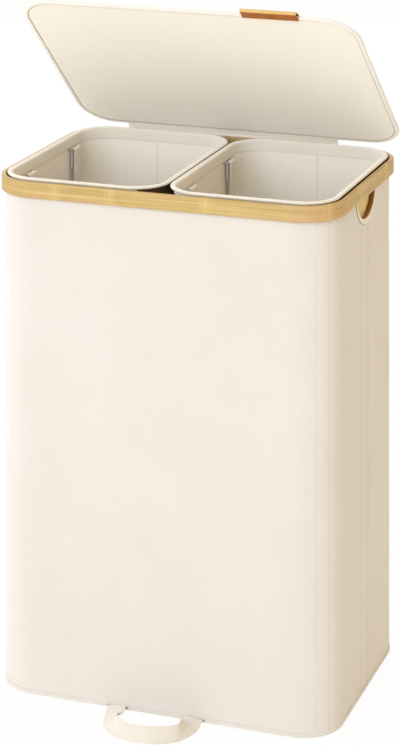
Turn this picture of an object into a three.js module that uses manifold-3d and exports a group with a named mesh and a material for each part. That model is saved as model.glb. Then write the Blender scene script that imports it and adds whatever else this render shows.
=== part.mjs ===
// A laundry hamper with two lift-out bins. A fabric-covered body carries a bent
// bamboo hoop round its mouth, a fabric-covered lid hangs on a fabric strip at the back,
// and two rimmed bins stand side by side inside, each with a pair of carry straps.
// Millimetres, +Z up, the front towards -Y and +X to the right. The origin is on the
// floor, in the middle of the body's footprint.
import * as THREE from 'three';
import { mergeVertices } from 'three/addons/utils/BufferGeometryUtils.js';
import Module from 'manifold-3d';

// Driving dimensions of the body
const GAP = 0.3; // clearance between pieces that touch
const BODY_WIDTH = 468;
const BODY_DEPTH = 329;
const BODY_CORNER = 53;
const WALL_TOP = 668; // top edge of the fabric wall, below the top of the hoop
const COVER = 1; // outer fabric
const WALL_BOARD = 2;
const LINING = 0.5;
const BOTTOM_TAPE = 0.8; // tape sewn round the bottom edge
const BOTTOM_TAPE_HEIGHT = 5.5;
const BOTTOM_TAPE_REACH = 9; // how far the tape runs in under the bottom
const BOTTOM_PANEL = 1;
const BASE_BOARD = 3.5;
const TURN_IN = 7.5; // height of the cover's edge where it is turned over inside
const SIDE_SEAM_Y = 8; // where the two wall boards meet on each side
const EDGE_BEVEL = 0.6; // at the corners where fabric or tape is turned over

// Bamboo hoop
const HOOP_BOTTOM = 659;
const HOOP_TOP = 680;
const HOOP_THICKNESS = 6.3;
const HOOP_EDGE = 2; // rounding of its edges
const HOOP_SKIN = 1.5; // bamboo left beyond the end of each screw hole
const HOOP_SCREW_X = [-168, -56, 56, 168];
const HOOP_SCREW_Z = 664.3;

// Hand holes in the sides, half ovals that hang from the hoop
const HOLE_HALF_WIDTH = 43;
const HOLE_DROP = 33;
const HOLE_TOP = 660;
const HOLE_Y = 2; // their middle, a little behind the middle of the side
const PATCH = 0.6; // fabric patch sewn round each hole
const PATCH_HALF_WIDTH = 63;
const PATCH_DROP = 44;
const EDGE_TAPE = 0.6; // tape that wraps the cut edge of each hole
const EDGE_TAPE_REACH = 3.5;

// Bins
const BIN_WIDTH = 220;
const BIN_DEPTH = 312;
const BIN_CORNER = 43;
const BIN_X = 117; // middle of the right bin
const BIN_WALL = 1.8;
const BIN_TAPER = 5; // how far each wall leans in by the bottom
const BIN_BOTTOM = 6.9;
const BIN_FLOOR = 1.2;
const BIN_BOARD = 3;
const BIN_WALL_TOP = 681;
const RIM_TOP = 684;
const RIM_ROD = 2.4; // wire in the rim's fold
const RIM_ROD_SIDES = 6;
const HEM = 0.6;
const HEM_TURN = 0.8; // inner radius of its two turns at the rim
const HEM_BOTTOM = 667; // lower edge of the hem inside the bin
const HEM_OUTSIDE_BOTTOM = 673;

// Carry straps inside the bins
const STRAP_WIDTH = 24;
const STRAP_THICKNESS = 1.6;
const STRAP_SPACING = 160; // from leg to leg
const STRAP_Y = 4; // middle of each pair of legs
const STRAP_DROP = 88; // from the loop's bar to the lower edge of the strap
const STRAP_TURN = 8; // inner radius of its two lower corners
const STRAP_FOLD = 1.5; // inner radius of the fold over the bar
const STRAP_TURN_BACK = 24; // length of the end that is folded back
const STRAP_AXIS_Z = 665.3;
const STRAP_STAND_OFF = 7.2; // from the bin's wall to the bar's axis
const BAR = 1.6; // section of the wire loops that carry the straps
const BAR_LENGTH = 31;

// Lid
const HINGE_Y = 171.8;
const HINGE_Z = 684;
const LID_ANGLE = 40; // how far it stands open
const LID_WIDTH = 481;
const LID_BACK = 3.5; // from the hinge line to the lid's rear edge
const LID_FRONT = 342;
const LID_CORNER = 50;
const LID_X = 3; // the lid sits slightly to the right
const LID_RISE = 0.8; // its underside above the hinge line
const LID_TAPE = 0.5;
const LID_TAPE_REACH = 6;
const LID_COVER = 0.4;
const LID_BOARD = 1.2;
const TAB_X = 128; // middle of the pull tab
const TAB_WIDTH = 78;
const TAB_REACH = 12.5; // how far it stands out from the lid
const TAB_OVER = 22; // how far it runs in over the lid
const TAB_UNDER = 5; // and under it
const TAB_THICKNESS = 1.3;
const TAB_FOLD = 1.1; // inner radius of its fold

// Fabric hinge at the back
const STRIP_X = -13;
const STRIP_WIDTH = 317;
const STRIP = 0.8;
const STRIP_ON_LID = 7.5; // how far it runs in under the lid
const STRIP_FREE = 0.8; // from either part of the strip to the hinge line, where the fabric bends
const STRIP_BOTTOM = 660.5;
const STRIP_SCREW_PITCH = 90;
const STRIP_SCREW_Z = 670;

// Pull loop at the foot of the front
const LOOP_WIDTH = 25;
const LOOP_THICKNESS = 1.8;
const LOOP_ROOT_Y = -166.4; // where its ends leave the hem
const LOOP_ROOT_Z = 2.8;
const LOOP_LEFT = -69;
const LOOP_RIGHT = 63;
const LOOP_LEAN_ROOT = 4; // degrees that the band stands up where it leaves the hem
const LOOP_LEAN_FRONT = 100; // and at the front
const LOOP_TWIST_LEFT = 0.44; // share of the band that turns upright from its left end
const LOOP_TWIST_RIGHT = 0.27; // and from its right end
const LOOP_CLEARANCE = 0.4; // from the floor
const LOOP_SLOT_MARGIN = [1, 3]; // sideways room in its slots, to the left and the right
const LOOP_SLOT = [-1.2, 1.6]; // their lower and upper edge, from the band's middle at its ends

// Screws
const SCREW_HEAD = 3;
const SCREW_HEAD_HEIGHT = 1.4;
const SCREW_SHANK = 1.3;
const SCREW_POINT = 2; // length of the tapered end
const SCREW_SIDES = 8;

// Fineness of the curves
const BODY_STEPS = 10; // straight steps in each rounded corner of the body and lid
const BIN_STEPS = 8;
const HOLE_STEPS = 16;
const LOOP_STEPS = 40;
const HOOP_EDGE_STEPS = 2;
const FOLD_SEGMENTS = 4; // for the bends of the straps and the tab

const FABRIC = { color: 0xf1e9dd, roughness: 0.9, metalness: 0 };
const LINER_FABRIC = { color: 0xe6dccb, roughness: 0.92, metalness: 0 };
const TAPE = { color: 0xf5eee4, roughness: 0.85, metalness: 0 };
const BOARD = { color: 0xc9b48f, roughness: 0.95, metalness: 0 };
const BAMBOO = { color: 0xdcb87f, roughness: 0.45, metalness: 0 };
const LEATHER = { color: 0xb97a3c, roughness: 0.5, metalness: 0 };
const STEEL = { color: 0xb9b9b4, roughness: 0.35, metalness: 1 };

const wasm = await Module();
wasm.setup();

// Turns a closed mesh into a solid that can be cut and joined.
function toSolid(geometry) {
  const bare = new THREE.BufferGeometry();
  bare.setAttribute('position', geometry.getAttribute('position').clone());
  if (geometry.index) bare.setIndex(geometry.index.clone());
  const merged = mergeVertices(bare, 1e-4);
  const vertProperties = Float32Array.from(merged.getAttribute('position').array);
  const triVerts = Uint32Array.from(merged.index.array);
  return new wasm.Manifold(new wasm.Mesh({ numProp: 3, vertProperties, triVerts }));
}

// Turns a solid back into a mesh.
function toGeometry(solid) {
  const { vertProperties, triVerts } = solid.getMesh();
  const geometry = new THREE.BufferGeometry();
  geometry.setAttribute('position', new THREE.Float32BufferAttribute(vertProperties, 3));
  geometry.setIndex(Array.from(triVerts));
  geometry.computeVertexNormals();
  return geometry;
}

// Cuts every tool from a piece.
function cut(geometry, tools) {
  const solid = tools.reduce((rest, tool) => rest.subtract(toSolid(tool)), toSolid(geometry));
  return toGeometry(solid);
}

// Joins overlapping shapes into one piece.
function join(geometries) {
  const [first, ...others] = geometries.map(toSolid);
  return toGeometry(others.reduce((whole, next) => whole.add(next), first));
}

// The points of a rectangle with round corners, anticlockwise. Steps is the even
// number of straight steps in each corner: a path divides an arc twice as finely as asked.
function roundedRectangle(width, height, radius, steps, x = 0, y = 0) {
  const right = width / 2 - radius;
  const top = height / 2 - radius;
  const path = new THREE.Path();
  path.absarc(x + right, y + top, radius, 0, Math.PI / 2);
  path.absarc(x - right, y + top, radius, Math.PI / 2, Math.PI);
  path.absarc(x - right, y - top, radius, Math.PI, Math.PI * 1.5);
  path.absarc(x + right, y - top, radius, Math.PI * 1.5, Math.PI * 2);
  return path.getPoints(steps / 2);
}

// Sweeps a closed section round an outline. A section point is [out, up]: out is the
// distance from the outline, outwards, and up is the height. Both run anticlockwise.
// An open outline has its two ends closed.
function sweep(outline, section, open = false) {
  const count = outline.length;
  const positions = [];
  for (let i = 0; i < count; i += 1) {
    const here = outline[i];
    const back = here.clone().sub(outline[(i + count - 1) % count]).normalize();
    const ahead = outline[(i + 1) % count].clone().sub(here).normalize();
    const arriving = open && i === 0 ? ahead : back;
    const leaving = open && i === count - 1 ? back : ahead;
    const out = new THREE.Vector2(arriving.y + leaving.y, -arriving.x - leaving.x);
    out.divideScalar(1 + arriving.dot(leaving));
    for (const [distance, up] of section) {
      positions.push(here.x + out.x * distance, here.y + out.y * distance, up);
    }
  }
  const sides = section.length;
  const index = [];
  const spans = open ? count - 1 : count;
  for (let i = 0; i < spans; i += 1) {
    for (let j = 0; j < sides; j += 1) {
      const a = i * sides + j;
      const b = ((i + 1) % count) * sides + j;
      const c = ((i + 1) % count) * sides + ((j + 1) % sides);
      const d = i * sides + ((j + 1) % sides);
      index.push(a, b, c, a, c, d);
    }
  }
  if (open) {
    const face = section.map(([distance, up]) => new THREE.Vector2(distance, up));
    const last = (count - 1) * sides;
    for (const [a, b, c] of THREE.ShapeUtils.triangulateShape(face, [])) {
      index.push(a, b, c, last + a, last + c, last + b);
    }
  }
  const geometry = new THREE.BufferGeometry();
  geometry.setAttribute('position', new THREE.Float32BufferAttribute(positions, 3));
  geometry.setIndex(index);
  geometry.computeVertexNormals();
  return geometry;
}

// A rectangular section between two distances and two heights.
function strip(inner, outer, bottom, top) {
  return [[inner, bottom], [outer, bottom], [outer, top], [inner, top]];
}

// A shape pulled straight up, with its bends divided coarsely.
function extrude(shape, depth) {
  const options = { depth, bevelEnabled: false, curveSegments: FOLD_SEGMENTS };
  return new THREE.ExtrudeGeometry(shape, options);
}

// A flat plate of an outline's shape, from one height to another.
function plate(points, bottom, top) {
  const geometry = extrude(new THREE.Shape(points), top - bottom);
  geometry.translate(0, 0, bottom);
  return geometry;
}

// A box between two corners.
function block(x0, x1, y0, y1, z0, z1) {
  const geometry = new THREE.BoxGeometry(x1 - x0, y1 - y0, z1 - z0);
  geometry.translate((x0 + x1) / 2, (y0 + y1) / 2, (z0 + z1) / 2);
  return geometry;
}

const model = new THREE.Group();

function add(name, geometry, finish, parent = model) {
  const mesh = new THREE.Mesh(geometry, new THREE.MeshStandardMaterial(finish));
  mesh.name = name;
  parent.add(mesh);
  return mesh;
}

// Distances of the body's layers from the outer face of the cover
const boardOut = -COVER - GAP;
const boardIn = boardOut - WALL_BOARD;
const liningOut = boardIn - GAP;
const liningIn = liningOut - LINING;
const turnInOut = liningIn - GAP;
const turnInIn = turnInOut - COVER;
const hoopIn = GAP;
const hoopOut = hoopIn + HOOP_THICKNESS;
const screwTip = hoopOut - HOOP_SKIN; // how far the hoop's screw holes reach out

// Heights of the layers at the bottom
const panelBottom = BOTTOM_TAPE + GAP;
const panelTop = panelBottom + BOTTOM_PANEL;
const wallBottom = panelTop + GAP;

const frontY = -BODY_DEPTH / 2;
const backY = BODY_DEPTH / 2;
const sideX = BODY_WIDTH / 2;

function bodyOutline(offset = 0) {
  const width = BODY_WIDTH + 2 * offset;
  return roundedRectangle(width, BODY_DEPTH + 2 * offset, BODY_CORNER + offset, BODY_STEPS);
}

// The half oval of a hand hole or its patch, seen from outside: x runs along the side
// and y up, and the curve runs from the left end down and up to the right end.
function halfOval(halfWidth, drop, steps) {
  const curve = new THREE.EllipseCurve(0, HOOP_BOTTOM - GAP, halfWidth, drop, Math.PI, Math.PI * 2);
  return curve.getPoints(steps);
}

// The cutter for a hand hole, lying in its own plane and running through the wall.
function holeCutter() {
  const points = halfOval(HOLE_HALF_WIDTH, HOLE_DROP, HOLE_STEPS);
  points.push(new THREE.Vector2(HOLE_HALF_WIDTH, HOLE_TOP));
  points.push(new THREE.Vector2(-HOLE_HALF_WIDTH, HOLE_TOP));
  const beyond = 5;
  return plate(points, turnInIn - beyond, beyond);
}

// Stands a shape that is drawn flat up against a side of the body, with its third
// axis pointing out. Side is 1 on the right and -1 on the left.
function sidePlacement(side) {
  const along = new THREE.Vector3(0, side, 0);
  const up = new THREE.Vector3(0, 0, 1);
  const out = new THREE.Vector3(side, 0, 0);
  return new THREE.Matrix4().makeBasis(along, up, out).setPosition(side * sideX, HOLE_Y, 0);
}

// A pan-head screw along -Z with the underside of its head at 0.
function screw(length) {
  const profile = [
    [0, -length], [SCREW_SHANK, -length + SCREW_POINT], [SCREW_SHANK, 0], [SCREW_HEAD, 0],
    [SCREW_HEAD, SCREW_HEAD_HEIGHT / 2], [SCREW_HEAD / 2, SCREW_HEAD_HEIGHT], [0, SCREW_HEAD_HEIGHT],
  ].map(([radius, z]) => new THREE.Vector2(radius, z));
  return new THREE.LatheGeometry(profile, SCREW_SIDES).rotateX(Math.PI / 2);
}

// The hole that a screw runs in, along Y through a wall at the front or back.
function screwHole(x, z, y0, y1) {
  const hole = new THREE.CylinderGeometry(SCREW_SHANK + GAP, SCREW_SHANK + GAP, y1 - y0, SCREW_SIDES);
  return hole.translate(x, (y0 + y1) / 2, z);
}

// Body: cover, boards, lining and bottom
function buildBody() {
  const outline = bodyOutline();
  const holes = [1, -1].map((side) => holeCutter().applyMatrix4(sidePlacement(side)));
  const screwHoles = HOOP_SCREW_X.flatMap((x) => [
    screwHole(x, HOOP_SCREW_Z, frontY - screwTip, frontY - turnInIn + 1),
    screwHole(x, HOOP_SCREW_Z, backY + turnInIn - 1, backY + screwTip),
  ]);

  // The bottom tape and the cover have two slots for the ends of the pull loop.
  const slots = [LOOP_LEFT, LOOP_RIGHT - LOOP_WIDTH].map((x) => block(
    x - LOOP_SLOT_MARGIN[0], x + LOOP_WIDTH + LOOP_SLOT_MARGIN[1],
    frontY - 3, frontY + COVER + 0.1, LOOP_ROOT_Z + LOOP_SLOT[0], LOOP_ROOT_Z + LOOP_SLOT[1],
  ));

  // The cover runs up the outside, over the top edge and a little way down inside.
  const cover = [
    [-COVER, wallBottom], [0, wallBottom], [0, WALL_TOP - EDGE_BEVEL], [-EDGE_BEVEL, WALL_TOP],
    [turnInIn + EDGE_BEVEL, WALL_TOP], [turnInIn, WALL_TOP - EDGE_BEVEL], [turnInIn, WALL_TOP - TURN_IN],
    [turnInOut, WALL_TOP - TURN_IN], [turnInOut, WALL_TOP - COVER], [-COVER, WALL_TOP - COVER],
  ];
  add('outer_cover', cut(sweep(outline, cover), [...holes, ...screwHoles, ...slots]), FABRIC);

  const boards = sweep(outline, strip(boardIn, boardOut, wallBottom, WALL_TOP - COVER - GAP));
  const ring = cut(boards, [...holes, ...screwHoles]);
  const far = BODY_WIDTH;
  const behind = block(-far, far, SIDE_SEAM_Y - GAP / 2, far, -1, WALL_TOP + 1);
  const ahead = block(-far, far, -far, SIDE_SEAM_Y + GAP / 2, -1, WALL_TOP + 1);
  add('front_wall_board', cut(ring, [behind]), BOARD);
  add('rear_wall_board', cut(ring, [ahead]), BOARD);

  const liningTop = WALL_TOP - TURN_IN - GAP;
  const lining = sweep(outline, strip(liningIn, liningOut, wallBottom, liningTop));
  add('body_lining', cut(lining, holes), LINER_FABRIC);

  const tapeOut = GAP + BOTTOM_TAPE;
  const bevel = EDGE_BEVEL / 2;
  const tape = [
    [-BOTTOM_TAPE_REACH, 0], [tapeOut - bevel, 0], [tapeOut, bevel], [tapeOut, BOTTOM_TAPE_HEIGHT],
    [GAP, BOTTOM_TAPE_HEIGHT], [GAP, BOTTOM_TAPE], [-BOTTOM_TAPE_REACH, BOTTOM_TAPE],
  ];
  add('bottom_edge_tape', cut(sweep(outline, tape), slots), TAPE);

  // Inside the tape the bottom panel is doubled, down to the floor under the base board.
  const doubling = plate(bodyOutline(-BOTTOM_TAPE_REACH - GAP), 0, panelTop);
  add('bottom_panel', join([plate(outline, panelBottom, panelTop), doubling]), FABRIC);
  add('base_board', plate(bodyOutline(liningIn - GAP), wallBottom, wallBottom + BASE_BOARD), BOARD);
}

// Bamboo hoop round the mouth, screwed on from inside the wall
function buildHoop() {
  const section = roundedRectangle(
    HOOP_THICKNESS, HOOP_TOP - HOOP_BOTTOM, HOOP_EDGE, HOOP_EDGE_STEPS,
    (hoopIn + hoopOut) / 2, (HOOP_TOP + HOOP_BOTTOM) / 2,
  ).map(({ x, y }) => [x, y]);
  const holes = HOOP_SCREW_X.flatMap((x) => [
    screwHole(x, HOOP_SCREW_Z, frontY - screwTip, frontY),
    screwHole(x, HOOP_SCREW_Z, backY, backY + screwTip),
  ]);
  for (const x of hingeScrewPositions()) {
    holes.push(screwHole(x, STRIP_SCREW_Z, backY + hoopIn + HOOP_SKIN, backY + hoopOut + 1));
  }
  add('bamboo_hoop', cut(sweep(bodyOutline(), section), holes), BAMBOO);

  // Each screw ends a gap short of its hole's end.
  const length = screwTip - turnInIn;
  HOOP_SCREW_X.forEach((x, i) => {
    const front = add(`hoop_screw_front_${i + 1}`, screw(length), STEEL);
    front.position.set(x, frontY - turnInIn + GAP, HOOP_SCREW_Z);
    front.rotation.x = -Math.PI / 2;
    const rear = add(`hoop_screw_rear_${i + 1}`, screw(length), STEEL);
    rear.position.set(x, backY + turnInIn - GAP, HOOP_SCREW_Z);
    rear.rotation.x = Math.PI / 2;
  });
}

// The patch and the edge tape round each hand hole
function buildHandHoles() {
  const rim = halfOval(HOLE_HALF_WIDTH, HOLE_DROP, HOLE_STEPS);
  const patchEdge = halfOval(PATCH_HALF_WIDTH, PATCH_DROP, HOLE_STEPS);
  const patch = plate([...patchEdge, ...[...rim].reverse()], GAP, GAP + PATCH);
  const outFace = GAP + PATCH + GAP;
  const inFace = liningIn - GAP;
  const channel = [
    [-GAP - EDGE_TAPE, inFace - EDGE_TAPE], [EDGE_TAPE_REACH, inFace - EDGE_TAPE],
    [EDGE_TAPE_REACH, inFace], [-GAP, inFace], [-GAP, outFace], [EDGE_TAPE_REACH, outFace],
    [EDGE_TAPE_REACH, outFace + EDGE_TAPE], [-GAP - EDGE_TAPE, outFace + EDGE_TAPE],
  ];
  const tape = sweep(rim, channel, true);
  for (const [name, side] of [['right', 1], ['left', -1]]) {
    add(`${name}_hand_hole_patch`, patch.clone().applyMatrix4(sidePlacement(side)), FABRIC);
    add(`${name}_hand_hole_tape`, tape.clone().applyMatrix4(sidePlacement(side)), TAPE);
  }
}

// Pull loop at the foot of the front: a band that leaves the hem flat, comes forward
// over the floor and stands up as it turns across
function loopPath() {
  const floor = [
    [LOOP_LEFT, LOOP_ROOT_Y], [-63, -192], [-54, -218], [-36, -237], [-6, -244], [30, -239],
    [53, -221], [LOOP_RIGHT + 1, -194], [LOOP_RIGHT, LOOP_ROOT_Y],
  ].map(([x, y]) => new THREE.Vector3(x, y, 0));
  return new THREE.CatmullRomCurve3(floor);
}

function buildPullLoop() {
  const path = loopPath();
  const positions = [];
  for (let i = 0; i <= LOOP_STEPS; i += 1) {
    const along = i / LOOP_STEPS;
    const point = path.getPointAt(along);
    const tangent = path.getTangentAt(along);
    if (i === 0) tangent.set(0, -1, 0);
    if (i === LOOP_STEPS) tangent.set(0, 1, 0);
    const inward = new THREE.Vector3(-tangent.y, tangent.x, 0);
    const turned = Math.min(1, along / LOOP_TWIST_LEFT, (1 - along) / LOOP_TWIST_RIGHT);
    const rise = 1 - Math.cos(turned * Math.PI / 2);
    const lean = THREE.MathUtils.degToRad(THREE.MathUtils.lerp(LOOP_LEAN_ROOT, LOOP_LEAN_FRONT, rise));
    const up = new THREE.Vector3(0, 0, 1);
    const across = inward.clone().multiplyScalar(Math.cos(lean)).addScaledVector(up, Math.sin(lean));
    const thick = inward.clone().multiplyScalar(-Math.sin(lean)).addScaledVector(up, Math.cos(lean));
    const rootHeight = LOOP_ROOT_Z - LOOP_THICKNESS / 2;
    point.z = THREE.MathUtils.lerp(rootHeight, LOOP_CLEARANCE, Math.min(1, turned * 2));
    for (const [w, t] of [[0, 0], [1, 0], [1, 1], [0, 1]]) {
      const corner = point.clone();
      corner.addScaledVector(across, w * LOOP_WIDTH);
      corner.addScaledVector(thick, t * LOOP_THICKNESS);
      positions.push(corner.x, corner.y, corner.z);
    }
  }
  const index = [];
  for (let i = 0; i < LOOP_STEPS; i += 1) {
    for (let j = 0; j < 4; j += 1) {
      const a = i * 4 + j;
      const b = a + 4;
      const c = (i + 1) * 4 + ((j + 1) % 4);
      const d = i * 4 + ((j + 1) % 4);
      index.push(a, c, b, a, d, c);
    }
  }
  const last = LOOP_STEPS * 4;
  index.push(0, 3, 2, 0, 2, 1, last, last + 1, last + 2, last, last + 2, last + 3);
  const geometry = new THREE.BufferGeometry();
  geometry.setAttribute('position', new THREE.Float32BufferAttribute(positions, 3));
  geometry.setIndex(index);
  add('front_pull_loop', geometry, TAPE);
}

// Bins: each a liner with a floor board, a folded hem over a wire and two straps
function buildBin(name, x) {
  const bin = new THREE.Group();
  bin.position.set(x, 0, 0);
  model.add(bin);
  const outline = roundedRectangle(BIN_WIDTH, BIN_DEPTH, BIN_CORNER, BIN_STEPS);
  const wall = sweep(outline, [
    [-BIN_TAPER - BIN_WALL, BIN_BOTTOM], [-BIN_TAPER, BIN_BOTTOM], [0, HEM_BOTTOM],
    [0, BIN_WALL_TOP], [-BIN_WALL, BIN_WALL_TOP], [-BIN_WALL, HEM_BOTTOM],
  ]);
  const footInset = BIN_TAPER + BIN_WALL / 2;
  const foot = roundedRectangle(
    BIN_WIDTH - 2 * footInset, BIN_DEPTH - 2 * footInset, BIN_CORNER - footInset, BIN_STEPS,
  );
  const floor = plate(foot, BIN_BOTTOM, BIN_BOTTOM + BIN_FLOOR);
  add(`${name}_bin_liner`, join([wall, floor]), LINER_FABRIC, bin);

  const boardInset = BIN_TAPER + BIN_WALL + 2 * GAP;
  const board = roundedRectangle(
    BIN_WIDTH - 2 * boardInset, BIN_DEPTH - 2 * boardInset, BIN_CORNER - boardInset, BIN_STEPS,
  );
  const boardBottom = BIN_BOTTOM + BIN_FLOOR + GAP;
  add(`${name}_bin_base_board`, plate(board, boardBottom, boardBottom + BIN_BOARD), LINER_FABRIC, bin);

  const rodRadius = RIM_ROD / 2;
  const rodZ = RIM_TOP - HEM - 2 * GAP - rodRadius;
  const rod = Array.from({ length: RIM_ROD_SIDES }, (_, i) => {
    const turn = (i / RIM_ROD_SIDES) * Math.PI * 2;
    return [GAP + rodRadius + rodRadius * Math.cos(turn), rodZ + rodRadius * Math.sin(turn)];
  });
  add(`${name}_bin_rim_wire`, sweep(outline, rod), STEEL, bin);

  // The hem's section: up inside the bin, over the wall and the wire, and down outside.
  const inFace = -BIN_WALL - GAP;
  const outFace = RIM_ROD + 2 * GAP;
  const turnZ = RIM_TOP - HEM - HEM_TURN;
  const hem = new THREE.Path();
  hem.moveTo(inFace - HEM, HEM_BOTTOM);
  hem.lineTo(inFace, HEM_BOTTOM);
  hem.absarc(inFace + HEM_TURN, turnZ, HEM_TURN, Math.PI, Math.PI / 2, true);
  hem.absarc(outFace - HEM_TURN, turnZ, HEM_TURN, Math.PI / 2, 0, true);
  hem.lineTo(outFace, HEM_OUTSIDE_BOTTOM);
  hem.lineTo(outFace + HEM, HEM_OUTSIDE_BOTTOM);
  hem.absarc(outFace - HEM_TURN, turnZ, HEM_TURN + HEM, 0, Math.PI / 2, false);
  hem.absarc(inFace + HEM_TURN, turnZ, HEM_TURN + HEM, Math.PI / 2, Math.PI, false);
  const hemSection = hem.getPoints(1).map(({ x, y }) => [x, y]);
  add(`${name}_bin_hem`, sweep(outline, hemSection), TAPE, bin);

  for (const [wallName, side] of [['left', -1], ['right', 1]]) {
    buildStrap(`${name}_bin_${wallName}`, side, bin);
  }
}

// A strap hangs from two wire loops on a side wall of its bin. It is drawn with x
// along the wall, y up and z into the bin, from the axis of the loops' bars.
function buildStrap(name, side, bin) {
  const frame = new THREE.Group();
  const into = -side;
  frame.applyMatrix4(new THREE.Matrix4().makeBasis(
    new THREE.Vector3(0, into, 0), new THREE.Vector3(0, 0, 1), new THREE.Vector3(into, 0, 0),
  ));
  const wallInside = BIN_WIDTH / 2 - BIN_WALL;
  frame.position.set(side * (wallInside - STRAP_STAND_OFF), STRAP_Y, STRAP_AXIS_Z);
  bin.add(frame);

  const near = STRAP_FOLD;
  const far = STRAP_FOLD + STRAP_THICKNESS;
  const halfInside = (STRAP_SPACING - STRAP_WIDTH) / 2;
  const halfOutside = (STRAP_SPACING + STRAP_WIDTH) / 2;
  const turn = STRAP_WIDTH + STRAP_TURN;
  const face = new THREE.Shape();
  face.moveTo(-halfOutside, 0);
  face.lineTo(-halfOutside, -STRAP_DROP + turn);
  face.absarc(-halfOutside + turn, -STRAP_DROP + turn, turn, Math.PI, Math.PI * 1.5);
  face.absarc(halfOutside - turn, -STRAP_DROP + turn, turn, Math.PI * 1.5, Math.PI * 2);
  face.lineTo(halfOutside, 0);
  face.lineTo(halfInside, 0);
  face.absarc(halfInside - STRAP_TURN, -STRAP_DROP + turn, STRAP_TURN, 0, -Math.PI / 2, true);
  face.absarc(-halfInside + STRAP_TURN, -STRAP_DROP + turn, STRAP_TURN, -Math.PI / 2, -Math.PI, true);
  face.lineTo(-halfInside, 0);
  const band = extrude(face, STRAP_THICKNESS);
  band.translate(0, 0, near);

  // Each end is folded over its bar: seen along the bar, from the free end up, over
  // the bar and down to where the band takes over.
  const overlap = 1;
  const fold = new THREE.Shape();
  fold.moveTo(-near, -STRAP_TURN_BACK);
  fold.lineTo(-near, 0);
  fold.absarc(0, 0, near, Math.PI, 0, true);
  fold.lineTo(near, -overlap);
  fold.lineTo(far, -overlap);
  fold.lineTo(far, 0);
  fold.absarc(0, 0, far, 0, Math.PI, false);
  fold.lineTo(-far, -STRAP_TURN_BACK);
  const ends = [-1, 1].map((end) => {
    const piece = extrude(fold, STRAP_WIDTH);
    piece.rotateY(-Math.PI / 2);
    return piece.translate(end * STRAP_SPACING / 2 + STRAP_WIDTH / 2, 0, 0);
  });
  add(`${name}_strap`, join([band, ...ends]), TAPE, frame);

  const half = BAR_LENGTH / 2;
  const toWall = -STRAP_STAND_OFF + GAP;
  const wire = new THREE.Shape();
  wire.moveTo(-half, toWall);
  wire.lineTo(-half + BAR, toWall);
  wire.lineTo(-half + BAR, -BAR / 2);
  wire.lineTo(half - BAR, -BAR / 2);
  wire.lineTo(half - BAR, toWall);
  wire.lineTo(half, toWall);
  wire.lineTo(half, BAR / 2);
  wire.lineTo(-half, BAR / 2);
  const loop = extrude(wire, BAR);
  loop.rotateX(Math.PI / 2);
  loop.translate(0, BAR / 2, 0);
  for (const [endName, end] of [['front', -into], ['rear', into]]) {
    const mesh = add(`${name}_strap_loop_${endName}`, loop.clone(), STEEL, frame);
    mesh.position.x = end * STRAP_SPACING / 2;
  }
}

// Lid, drawn closed with the hinge line at the origin, then swung open
function hingeScrewPositions() {
  return [-1.5, -0.5, 0.5, 1.5].map((i) => STRIP_X + i * STRIP_SCREW_PITCH);
}

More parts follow.
